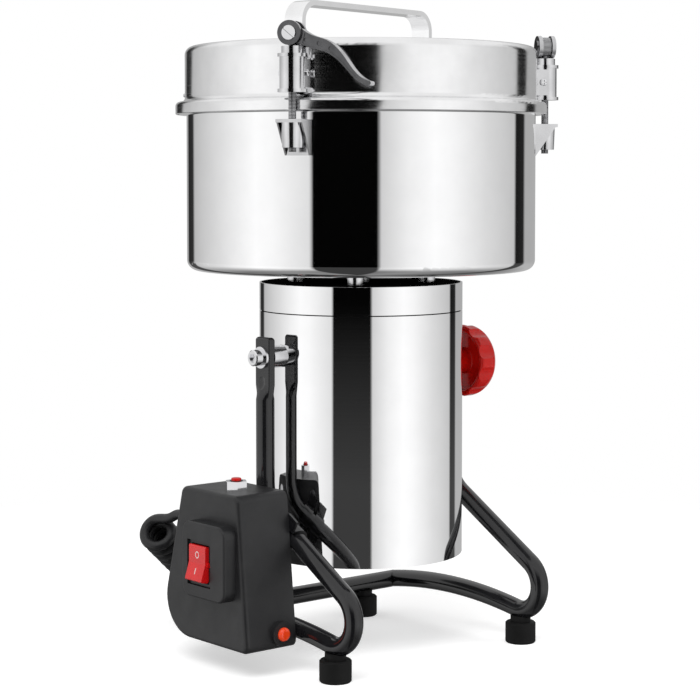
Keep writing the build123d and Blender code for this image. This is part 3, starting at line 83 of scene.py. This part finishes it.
class Tree:
    """Short hand for wiring a node tree."""

    def __init__(self, tree):
        self.tree = tree
        tree.nodes.clear()

    def link(self, source, socket):
        self.tree.links.new(source, socket)

    def feed(self, socket, value):
        """Links the socket to another one, or sets its value."""
        if isinstance(value, bpy.types.NodeSocket):
            self.link(value, socket)
        else:
            socket.default_value = value

    def add(self, kind, inputs=None, **settings):
        node = self.tree.nodes.new("ShaderNode" + kind)
        for name, value in settings.items():
            setattr(node, name, value)
        for name, value in (inputs or {}).items():
            self.feed(node.inputs[name], value)
        return node

    def math(self, operation, *values):
        return self.add("Math", dict(enumerate(values)), operation=operation).outputs[0]

    def vector(self, operation, *values, output="Vector"):
        return self.add("VectorMath", dict(enumerate(values)), operation=operation).outputs[output]

    def grey(self, value):
        return self.add("CombineXYZ", {0: value, 1: value, 2: value}).outputs[0]

    def noise(self, at, scale, detail=3.0):
        node = self.add("TexNoise", {"Vector": at, "Scale": scale, "Detail": detail, "Roughness": 0.55})
        return node.outputs["Fac"]

    def span(self, value, low, high, to_low, to_high):
        node = self.add("MapRange", {"Value": value, "From Min": low, "From Max": high,
                                     "To Min": to_low, "To Max": to_high})
        return node.outputs["Result"]

    def blend(self, share, a, b):
        node = self.add("Mix", data_type="RGBA")
        for name, value in (("Factor_Float", share), ("A_Color", a), ("B_Color", b)):
            self.feed(next(s for s in node.inputs if s.identifier == name), value)
        return next(s for s in node.outputs if s.identifier == "Result_Color")

    def ramp(self, value, stops):
        node = self.add("ValToRGB", {"Fac": value})
        band = node.color_ramp
        while len(band.elements) < len(stops):
            band.elements.new(0.5)
        for element, (place, level) in zip(band.elements, stops):
            element.position = place
            element.color = (level, level, level, 1)
        return node.outputs["Color"]


def rgb(r, g, b):
    return (r, g, b, 1.0)


def surface(name, colour, rough, metal=0.0, worn=None, colour_scale=60.0, rough_swing=0.05, rough_scale=90.0,
            stretch=(1, 1, 1), grain=(), **sockets):
    """A principled surface with uneven colour and gloss.

    The bumps in grain are given as (scale, strength, depth in metres).
    """
    mat = bpy.data.materials.new(name)
    mat.use_nodes = True
    t = Tree(mat.node_tree)
    place = t.add("TexCoord").outputs["Object"]
    along = t.vector("MULTIPLY", place, stretch)
    shader = t.add("BsdfPrincipled", {"Metallic": metal})
    for socket, value in sockets.items():
        shader.inputs[socket.replace("_", " ")].default_value = value
    uneven = t.span(t.noise(place, colour_scale), 0.3, 0.7, 0.0, 1.0)
    t.link(t.blend(uneven, colour, worn or colour), shader.inputs["Base Color"])
    dull = t.span(t.noise(along, rough_scale), 0.25, 0.75, rough - rough_swing, rough + rough_swing)
    t.link(dull, shader.inputs["Roughness"])
    normal = None
    for scale, strength, depth in grain:
        bump = t.add("Bump", {"Strength": strength, "Distance": depth, "Height": t.noise(along, scale, 2.0)})
        if normal:
            t.link(normal, bump.inputs["Normal"])
        normal = bump.outputs["Normal"]
    if normal:
        t.link(normal, shader.inputs["Normal"])
    t.link(shader.outputs[0], t.add("OutputMaterial").inputs["Surface"])
    return mat, t, shader


def facing_out(tree):
    """How far a face looks out from the motor axis: 1 straight out, -1 straight in."""
    at = tree.add("TexCoord").outputs
    out = tree.vector("NORMALIZE", tree.vector("MULTIPLY", at["Object"], (1, 1, 0)))
    return tree.vector("DOT_PRODUCT", at["Normal"], out, output="Value")


def recolour(tree, shader, share, colour):
    """Blends from that colour to the surface's own one as the share goes from 0 to 1."""
    own = shader.inputs["Base Color"].links[0].from_socket
    tree.link(tree.blend(share, colour, own), shader.inputs["Base Color"])


def painted_edge_highlight(tree, shader):
    """Keeps the faces that look out from the motor axis, and paints a highlight in light grey on the side
    faces round them.
    """
    facing = tree.math("ABSOLUTE", facing_out(tree))
    recolour(tree, shader, tree.span(facing, 0.45, 0.8, 0.0, 1.0), rgb(0.62, 0.62, 0.63))


def painted_inner_shade(tree, shader):
    """Paints shade, near black, on the faces that look in towards the motor axis."""
    recolour(tree, shader, tree.span(facing_out(tree), -0.6, -0.2, 0.0, 1.0), rgb(0.035, 0.035, 0.036))


THREAD_PITCH = 0.0008


def threaded(tree, shader):
    """Grooves round the Z axis at the pitch of a thread, with painted shade darkening the grooves."""
    place = tree.add("TexCoord").outputs["Object"]
    thread = tree.add("TexWave", {"Vector": place, "Scale": math.pi / (10 * THREAD_PITCH)},
                      bands_direction="Z").outputs["Fac"]
    painted_groove_shade = tree.blend(tree.span(thread, 0.2, 0.75, 0.0, 1.0), rgb(0.06, 0.06, 0.065), rgb(0.66, 0.66, 0.67))
    tree.link(painted_groove_shade, shader.inputs["Base Color"])
    bump = tree.add("Bump", {"Strength": 0.7, "Distance": 0.0003, "Height": thread})
    tree.link(bump.outputs["Normal"], shader.inputs["Normal"])


ROUND_LINES = (6, 6, 900)  # stretches the grain into lines round the Z axis


def make_materials():
    made = {}

    def put(key, *args, **kwargs):
        made[key], tree, shader = surface(key, *args, **kwargs)
        return tree, shader

    def put_mirror(key):
        return put(key, rgb(0.94, 0.94, 0.945), 0.035, 1.0, rgb(0.91, 0.91, 0.915), rough_swing=0.012,
                   rough_scale=8.0, stretch=ROUND_LINES, grain=((1.0, 0.012, 0.0002),))

    # steels
    put_mirror("mirror_steel")
    # the top ring's inward faces get painted shade
    painted_inner_shade(*put_mirror("ring_steel"))
    put("lid_steel", rgb(0.92, 0.92, 0.925), 0.12, 1.0, rgb(0.85, 0.85, 0.855), rough_swing=0.05,
        stretch=ROUND_LINES, rough_scale=2.0, grain=((2.0, 0.02, 0.0002),))
    put("strap_steel", rgb(0.95, 0.95, 0.955), 0.09, 1.0, rgb(0.88, 0.88, 0.885), rough_swing=0.04,
        stretch=(4, 300, 300), rough_scale=2.0, grain=((2.0, 0.05, 0.0002),))
    put("machined_steel", rgb(0.78, 0.78, 0.79), 0.13, 1.0, rgb(0.64, 0.64, 0.65), rough_swing=0.05,
        stretch=(1, 1, 40), rough_scale=60.0, grain=((90.0, 0.06, 0.0002),))
    put("chrome", rgb(0.86, 0.86, 0.87), 0.09, 1.0, rgb(0.78, 0.78, 0.80), rough_swing=0.03,
        grain=((400.0, 0.03, 0.0001),))
    threaded(*put("threaded_steel", rgb(0.62, 0.62, 0.63), 0.28, 1.0, rgb(0.50, 0.50, 0.51)))
    # the levers' side faces get a painted highlight
    painted_edge_highlight(*put("cast_lever", rgb(0.17, 0.17, 0.175), 0.30, 1.0, rgb(0.12, 0.12, 0.125), rough_swing=0.08,
                  colour_scale=120.0, grain=((420.0, 0.12, 0.0003), (1500.0, 0.06, 0.0001))))

    # paint, rubber and plastics
    put("black_enamel", rgb(0.005, 0.005, 0.006), 0.15, worn=rgb(0.009, 0.009, 0.010), rough_swing=0.04,
        grain=((900.0, 0.04, 0.0002), (120.0, 0.04, 0.0004)), Coat_Weight=0.35, Coat_Roughness=0.05,
        Specular_IOR_Level=0.42)
    put("foot_rubber", rgb(0.006, 0.006, 0.006), 0.62, worn=rgb(0.010, 0.010, 0.010),
        grain=((1600.0, 0.25, 0.0002),), Specular_IOR_Level=0.16)
    put("silicone", rgb(0.62, 0.62, 0.60), 0.45, worn=rgb(0.54, 0.54, 0.52), grain=((900.0, 0.10, 0.0002),))
    put("box_plastic", rgb(0.012, 0.012, 0.013), 0.42, worn=rgb(0.018, 0.018, 0.019), rough_swing=0.06,
        grain=((1800.0, 0.16, 0.0002), (60.0, 0.04, 0.0006)), Specular_IOR_Level=0.4)
    put("switch_plastic", rgb(0.010, 0.010, 0.011), 0.33, worn=rgb(0.015, 0.015, 0.016),
        grain=((900.0, 0.06, 0.0002),), Specular_IOR_Level=0.4)
    put("red_plastic", rgb(0.66, 0.008, 0.004), 0.15, worn=rgb(0.52, 0.005, 0.003), rough_swing=0.05,
        grain=((300.0, 0.04, 0.0003),), Specular_IOR_Level=0.28)
    put("rocker_plastic", rgb(0.66, 0.010, 0.010), 0.26, worn=rgb(0.58, 0.007, 0.008),
        grain=((700.0, 0.05, 0.0002),), Coat_Weight=0.2, Coat_Roughness=0.15)
    put("mark_paint", rgb(0.80, 0.79, 0.76), 0.45, worn=rgb(0.70, 0.69, 0.66), grain=((1500.0, 0.08, 0.0001),))
    put("lamp_plastic", rgb(0.90, 0.075, 0.012), 0.16, worn=rgb(0.82, 0.05, 0.01), rough_swing=0.04,
        grain=((500.0, 0.04, 0.0002),), Coat_Weight=0.4, Coat_Roughness=0.05)
    put("cord_rubber", rgb(0.010, 0.010, 0.011), 0.36, worn=rgb(0.016, 0.016, 0.017), rough_swing=0.08,
        grain=((1400.0, 0.10, 0.0002),), Specular_IOR_Level=0.45)

    # inside the motor
    put("laminated_steel", rgb(0.30, 0.30, 0.31), 0.40, 1.0, rgb(0.20, 0.20, 0.21), stretch=(1, 1, 60),
        grain=((40.0, 0.5, 0.0003),))
    put("copper_wire", rgb(0.62, 0.24, 0.10), 0.30, 1.0, rgb(0.45, 0.15, 0.06), stretch=(1, 1, 8),
        grain=((300.0, 0.5, 0.0004),))
    put("cast_aluminium", rgb(0.56, 0.56, 0.58), 0.42, 1.0, rgb(0.46, 0.46, 0.48),
        grain=((500.0, 0.22, 0.0003),))
    # painted shade: the upper end frame is black and glossless, standing for the shade inside the housing top
    put("painted_shade_casting", rgb(0.010, 0.010, 0.010), 0.80, worn=rgb(0.016, 0.016, 0.016),
        grain=((500.0, 0.22, 0.0003),), Specular_IOR_Level=0.0)
    put("brass", rgb(0.72, 0.50, 0.20), 0.28, 1.0, rgb(0.60, 0.40, 0.15), grain=((300.0, 0.08, 0.0002),))
    put("carbon", rgb(0.020, 0.020, 0.021), 0.60, worn=rgb(0.032, 0.032, 0.033), grain=((900.0, 0.3, 0.0002),))
    return made


FINISHES = {
    "mirror_steel": "housing_sleeve grinding_bowl",
    "ring_steel": "housing_top_ring",
    "lid_steel": "lid",
    "strap_steel": "lid_handle",
    "threaded_steel": "clamp_rods",
    "machined_steel": "clamp_saddles clamp_barrels clamp_keepers sleeve_nuts motor_shaft lower_blade "
                      "upper_blade blade_spacer blade_nut bowl_standoffs pivot_bosses motor_bearings",
    "chrome": "pivot_bolt knob_stud saddle_screws bowl_screws lever_pins reset_nut plug_pins foot_screws "
              "control_box_screws",
    "black_enamel": "left_frame_tube right_frame_tube rear_cross_tube tube_clips",
    "foot_rubber": "rubber_feet shaft_seal",
    "silicone": "lid_gasket",
    "box_plastic": "control_box_cover control_box_back overload_breaker mains_plug cord_strain_relief",
    "switch_plastic": "switch_body",
    "red_plastic": "tilt_knob reset_button",
    "rocker_plastic": "switch_rocker",
    "lamp_plastic": "pilot_lamp",
    "cast_lever": "clamp_lever_front_left clamp_lever_front_right clamp_lever_rear",
    "cord_rubber": "curly_cord cord_tail",
    "laminated_steel": "stator_core armature_core",
    "copper_wire": "field_coils armature_winding commutator",
    "cast_aluminium": "lower_end_frame housing_bottom_cover cooling_fan",
    # the upper end frame carries painted shade
    "painted_shade_casting": "upper_end_frame",
    "brass": "brush_holders",
    "carbon": "carbon_brushes",
}


def dress(mats):
    for finish, names in FINISHES.items():
        for name in names.split():
            data = NODES[name].data
            data.materials.clear()
            data.materials.append(mats[finish])


def even_shading(name):
    """Lets the broad faces of a piece lead its shading, so that its narrow rounds show no ragged lights."""
    even = NODES[name].modifiers.new("even_shading", "WEIGHTED_NORMAL")
    even.mode = "FACE_AREA"
    even.keep_sharp = True


# Cord: out of the strain relief, down in curls to the surface behind the box, then a short tail to the plug
CORD_D = 6.5
EXIT = Vector((-95.0, 57.5, 84.0))
LEAD_OUT = 13.0  # straight part behind the strain relief
LEAD_IN = 8.0    # straight part onto the first curl
CURL_R = 8.75
CURL_PITCH = 7.3
CURLS = 15
CURL_START = EXIT + Vector((-8.1, 25.1, -12.0))
CURL_AXIS = Vector((0.75, 0.40, -0.555)).normalized()
POINTS_PER_CURL = 16
TAIL_FIRST = 24.0
TAIL_RUNS = ((25.0, -6.0, 77.0), (25.0, -3.4, 42.0), (24.0, 0.0, 8.0))  # length, drop, bearing


def cord_points():
    up = (Vector((0, 0, 1)) - CURL_AXIS * CURL_AXIS.z).normalized()
    side = up.cross(CURL_AXIS)
    # the curve lies a little inside its control points
    radius = CURL_R / math.cos(math.pi / POINTS_PER_CURL)

    def curl(turns, r):
        angle = 2 * math.pi * turns
        spoke = up * math.cos(angle) + side * math.sin(angle)
        return CURL_START + CURL_AXIS * (CURL_PITCH * turns) + spoke * r

    start = curl(0, CURL_R)
    heading = (side * (2 * math.pi * CURL_R) + CURL_AXIS * CURL_PITCH).normalized()
    points = [EXIT, EXIT + Vector((0, CORD_D, 0)), EXIT + Vector((0, LEAD_OUT, 0)), start - heading * LEAD_IN]
    count = POINTS_PER_CURL * CURLS
    points += [curl(i / POINTS_PER_CURL, radius) for i in range(count + 1)]
    end = curl(CURLS, CURL_R) + heading * CORD_D
    points += [end, end + heading * TAIL_FIRST]
    for run, drop, bearing in TAIL_RUNS:
        turn = math.radians(bearing)
        points.append(points[-1] + Vector((run * math.cos(turn), run * math.sin(turn), drop)))
    return [p * MM for p in points]


def make_cord(mats):
    points = cord_points()
    data = bpy.data.curves.new("mains_cord", "CURVE")
    data.dimensions = "3D"
    data.resolution_u = 4
    data.bevel_depth = CORD_D / 2 * MM
    data.bevel_resolution = 4
    data.use_fill_caps = True
    spline = data.splines.new("NURBS")
    spline.points.add(len(points) - 1)
    for control, point in zip(spline.points, points):
        control.co = (*point, 1)
    spline.order_u = 3
    spline.use_endpoint_u = True
    data.materials.append(mats["cord_rubber"])
    cord = bpy.data.objects.new("mains_cord", data)
    SCENE.collection.objects.link(cord)
    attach(cord, "stand")
    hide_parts("curly_cord", "cord_tail")


# Rocker marks: a ring and a bar laid on the rocker's face, in millimetres and shares of the rocker's height
MARK_PROUD = 0.05
MARK_SUNK = 0.20
RING_EDGES = (2.1, 1.6)
RING_NARROW = 0.85
RING_POINTS = 48
RING_ABOVE = 0.24
BAR_LEN = 3.4
BAR_EDGES = (-0.28, 0.28)
BAR_STEPS = 8
BAR_BELOW = 0.20
RAY_FROM_X = -0.3  # metres, well outside the rocker's face


def lay_on(tree, y, z):
    """Point of the rocker's face at that place, and the face's normal."""
    hit, normal, _, _ = tree.ray_cast(Vector((RAY_FROM_X, y * MM, z * MM)), Vector((1, 0, 0)))
    return hit, normal


def make_mark(name, edges, mats, tree, closed):
    """A thin closed band between two edges, each a row of (y, z)."""
    bm = bmesh.new()
    grid = []
    for row in edges:
        top, low = [], []
        for y, z in row:
            hit, normal = lay_on(tree, y, z)
            top.append(bm.verts.new(hit + normal * MARK_PROUD * MM))
            low.append(bm.verts.new(hit - normal * MARK_SUNK * MM))
        grid.append((top, low))
    (a_top, a_low), (b_top, b_low) = grid
    count = len(a_top)
    for i in range(count if closed else count - 1):
        j = (i + 1) % count
        for quad in ((a_top[i], a_top[j], b_top[j], b_top[i]), (a_low[j], a_low[i], b_low[i], b_low[j]),
                     (a_top[j], a_top[i], a_low[i], a_low[j]), (b_top[i], b_top[j], b_low[j], b_low[i])):
            bm.faces.new(quad)
    if not closed:
        for i in (0, count - 1):
            bm.faces.new((a_top[i], b_top[i], b_low[i], a_low[i]))
    bmesh.ops.recalc_face_normals(bm, faces=bm.faces)
    data = bpy.data.meshes.new(name)
    bm.to_mesh(data)
    bm.free()
    data.materials.append(mats["mark_paint"])
    mark = bpy.data.objects.new(name, data)
    SCENE.collection.objects.link(mark)
    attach(mark, "rocker")


def make_marks(mats):
    data = NODES["switch_rocker"].data
    tree = BVHTree.FromPolygons([v.co for v in data.vertices], [p.vertices for p in data.polygons])
    low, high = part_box("switch_rocker")
    middle_y = (low.y + high.y) / 2 / MM
    middle_z = (low.z + high.z) / 2 / MM
    tall = (high.z - low.z) / MM
    turns = [2 * math.pi * i / RING_POINTS for i in range(RING_POINTS)]
    off_z = middle_z + tall * RING_ABOVE
    ring = [[(middle_y + r * RING_NARROW * math.cos(a), off_z + r * math.sin(a)) for a in turns]
            for r in RING_EDGES]
    make_mark("rocker_mark_off", ring, mats, tree, True)
    on_z = middle_z - tall * BAR_BELOW
    steps = [on_z - BAR_LEN / 2 + BAR_LEN * i / BAR_STEPS for i in range(BAR_STEPS + 1)]
    bar = [[(middle_y + edge, z) for z in steps] for edge in BAR_EDGES]
    make_mark("rocker_mark_on", bar, mats, tree, False)


# Studio: white sweep, softboxes at the sides and a dark opening behind the camera
STUDIO = (  # degrees right of the camera as seen from the object, and the level there
    (-180, 0.42), (-162, 0.40), (-158, 0.02), (-145, 0.03), (-141, 0.50), (-105, 0.76), (-72, 1.06),
    (-60, 1.02), (-33, 0.78), (-31.3, 0.001), (10.4, 0.001), (12.6, 0.66), (30, 0.92), (48, 1.06),
    (60, 1.0), (88, 0.74), (118.5, 0.56), (121, 0.01), (132.5, 0.02), (135.5, 0.42), (180, 0.42))
ROOF_LEVEL = 0.92
ROOM_LEVEL = 0.55  # on dull surfaces
# heights of a reflected direction between which a change runs, and the levels or shares at both ends
ROOF_SPAN = (0.25, 0.6, 0.0, 1.0)
GLOW_SPAN = (-0.07, -0.16, 0.0, 0.045)
UNDER_SPAN = (-0.30, -0.75, 1.0, 0.22)


def make_world():
    world = bpy.data.worlds.new("studio")
    SCENE.world = world
    world.use_nodes = True
    t = Tree(world.node_tree)
    way = t.add("TexCoord").outputs["Generated"]
    right = t.vector("DOT_PRODUCT", way, tuple(RIGHT), output="Value")
    toward = t.vector("DOT_PRODUCT", way, tuple(TOWARD), output="Value")
    place = t.math("MULTIPLY_ADD", t.math("ARCTAN2", right, toward), 1 / (2 * math.pi), 0.5)
    walls = t.ramp(place, [((angle + 180) / 360, level) for angle, level in STUDIO])
    height = t.add("SeparateXYZ", {0: way}).outputs["Z"]
    low_walls = t.vector("MULTIPLY", walls, t.grey(t.span(height, *UNDER_SPAN)))
    glowing = t.vector("ADD", low_walls, t.grey(t.span(height, *GLOW_SPAN)))
    lit = t.blend(t.span(height, *ROOF_SPAN), glowing, rgb(ROOF_LEVEL, ROOF_LEVEL, ROOF_LEVEL))
    rays = t.add("LightPath").outputs
    soft = t.add("Background", {"Color": WHITE, "Strength": ROOM_LEVEL})
    shown = t.add("Background", {"Color": WHITE, "Strength": 1.0})
    mirrored = t.add("Background", {"Color": lit, "Strength": 1.0})
    glossy = t.add("MixShader", {0: rays["Is Glossy Ray"], 1: soft.outputs[0], 2: mirrored.outputs[0]})
    direct = t.math("MAXIMUM", rays["Is Camera Ray"], rays["Is Transmission Ray"])
    seen = t.add("MixShader", {0: direct, 1: glossy.outputs[0], 2: shown.outputs[0]})
    t.link(seen.outputs[0], t.add("OutputWorld").inputs["Surface"])


FLOOR_R = 6.0
FLOOR_SIDES = 96
PAPER_DARK = rgb(0.80, 0.80, 0.80)
PAPER_LIGHT = rgb(0.82, 0.82, 0.82)
PAPER_LIFT = 0.48
FADE_SPAN = (0.3, 0.6, 0.0, 1.0)  # metres from the part over which the floor turns plain white


def make_floor():
    bm = bmesh.new()
    bmesh.ops.create_circle(bm, cap_ends=True, segments=FLOOR_SIDES, radius=FLOOR_R)
    data = bpy.data.meshes.new("floor")
    bm.to_mesh(data)
    bm.free()
    floor = bpy.data.objects.new("floor", data)
    SCENE.collection.objects.link(floor)
    floor.visible_glossy = False
    mat = bpy.data.materials.new("floor_paper")
    mat.use_nodes = True
    t = Tree(mat.node_tree)
    at = t.add("TexCoord").outputs["Object"]
    paper = t.add("BsdfDiffuse", {"Color": t.blend(t.noise(at, 40.0), PAPER_DARK, PAPER_LIGHT)})
    lift = t.add("Emission", {"Color": WHITE, "Strength": PAPER_LIFT})
    near = t.add("AddShader", {0: paper.outputs[0], 1: lift.outputs[0]})
    far = t.add("Emission", {"Color": WHITE, "Strength": 1.0})
    away = t.span(t.vector("LENGTH", at, output="Value"), *FADE_SPAN)
    shown = t.add("MixShader", {0: away, 1: near.outputs[0], 2: far.outputs[0]})
    camera_ray = t.add("LightPath").outputs["Is Camera Ray"]
    pick = t.add("MixShader", {0: camera_ray, 1: paper.outputs[0], 2: shown.outputs[0]})
    t.link(pick.outputs[0], t.add("OutputMaterial").inputs["Surface"])
    data.materials.append(mat)


LAMPS = {  # place, side in metres, watts
    "key": ((-1.6, -0.7, 1.9), 1.2, 22),
    "fill": ((1.5, -1.3, 1.4), 1.4, 14),
    "top": ((-0.8, -0.9, 1.9), 1.2, 12),
}
LAMP_AIM = Vector((0, 0, 0.2))


def make_lamps():
    for name, (place, side, power) in LAMPS.items():
        data = bpy.data.lights.new(name, "AREA")
        data.shape = "RECTANGLE"
        data.size = side
        data.size_y = side
        data.energy = power
        light = bpy.data.objects.new(name, data)
        SCENE.collection.objects.link(light)
        light.location = place
        light.rotation_mode = "QUATERNION"
        light.rotation_quaternion = (LAMP_AIM - Vector(place)).to_track_quat("-Z", "Y")
        light.visible_glossy = False


make_camera()
materials = make_materials()
dress(materials)
even_shading("lid")
make_cord(materials)
make_marks(materials)
make_world()
make_floor()
make_lamps()

SCENE.view_settings.view_transform = "Standard"
